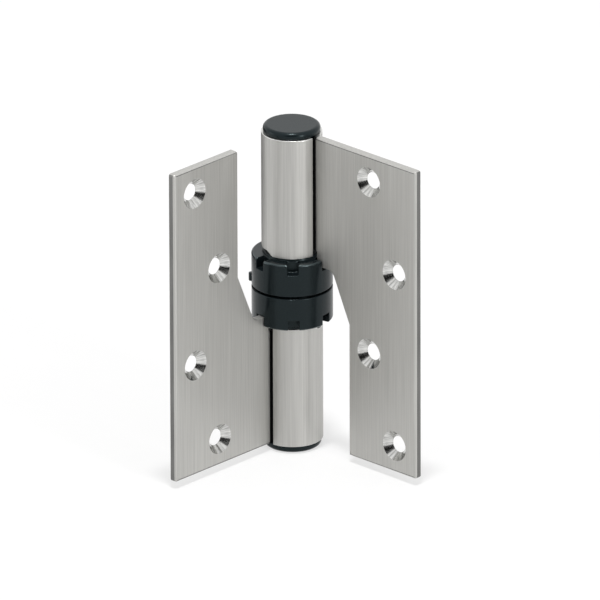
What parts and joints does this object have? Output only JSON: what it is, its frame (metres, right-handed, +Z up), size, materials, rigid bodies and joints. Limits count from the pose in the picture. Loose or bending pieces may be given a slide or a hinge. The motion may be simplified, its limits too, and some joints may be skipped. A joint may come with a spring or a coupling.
{
  "type": "gravity hinge",
  "caption": "Self-closing rising hinge with flat screw-on leaves, rolled knuckles and notched black cam collars that lift the door as it swings.",
  "frame": {"origin": "on the pivot line, in the middle of the joint between the two collars", "axes": "+Z up the pivot line, +X along the door leaf, -Y along the post leaf, screw heads facing -Y and +X"},
  "size_m": [0.0802, 0.0802, 0.1326],
  "materials": {
    "leaf_steel": "satin stainless sheet, brushed up and down",
    "black_nylon": "black moulded plastic with a soft sheen",
    "pin_steel": "ground steel"
  },
  "bodies": {
    "post_side": {"post_leaf": "leaf_steel", "post_collar": "black_nylon", "lower_liner": "black_nylon", "bottom_cap": "black_nylon"},
    "pin": {"spindle": "pin_steel"},
    "door_side": {"door_leaf": "leaf_steel", "door_collar": "black_nylon", "upper_liner": "black_nylon", "top_cap": "black_nylon"}
  },
  "joints": [
    {"name": "swing", "type": "hinge", "parent": "post_side", "child": "pin", "pos_m": [0, 0, 0], "axis": [0, 0, 1], "range_deg": [0, 90]},
    {"name": "rise", "type": "slide", "parent": "pin", "child": "door_side", "axis": [0, 0, 1], "range_m": [0, 0.008]}
  ],
  "couplings": [
    {"joint": "rise", "follows": "swing", "m_per_rad": 0.0050929}
  ]
}
